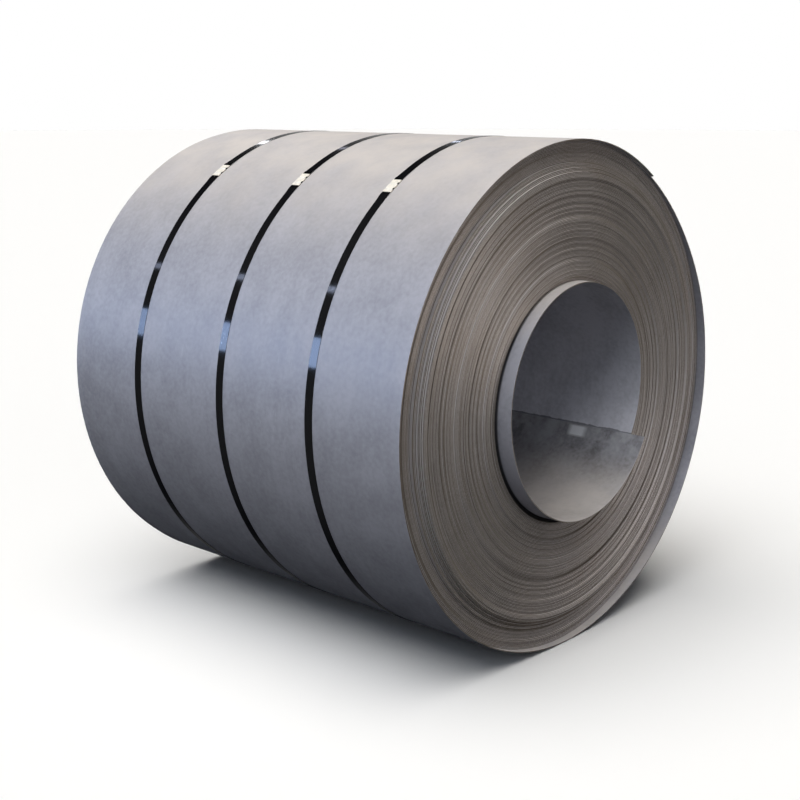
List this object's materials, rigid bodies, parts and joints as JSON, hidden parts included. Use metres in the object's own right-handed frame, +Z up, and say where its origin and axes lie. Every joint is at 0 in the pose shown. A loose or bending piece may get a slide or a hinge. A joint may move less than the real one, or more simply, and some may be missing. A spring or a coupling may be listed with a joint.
{
  "type": "steel coil",
  "caption": "Hot-rolled steel strip wound into a heavy roll round an open eye, lying on its side and bound with sealed steel straps.",
  "frame": {"origin": "on the floor, under the middle of the part's box, below the coil's eye", "axes": "+X along the eye towards the end where the innermost turn stands out, +Z up"},
  "size_m": [1.595, 1.652, 1.652],
  "materials": {
    "mill_scale_steel": "blue-grey mill scale, dull, with brown oxide on the strip edges",
    "black_strap": "glossy black wax-painted steel strapping",
    "zinc_seal": "bright zinc-coated sheet, crimped"
  },
  "bodies": {
    "root": {"steel_coil": "mill_scale_steel", "strap_far": "black_strap", "strap_middle": "black_strap", "strap_near": "black_strap", "seal_far": "zinc_seal", "seal_middle": "zinc_seal", "seal_near": "zinc_seal"}
  },
  "joints": []
}
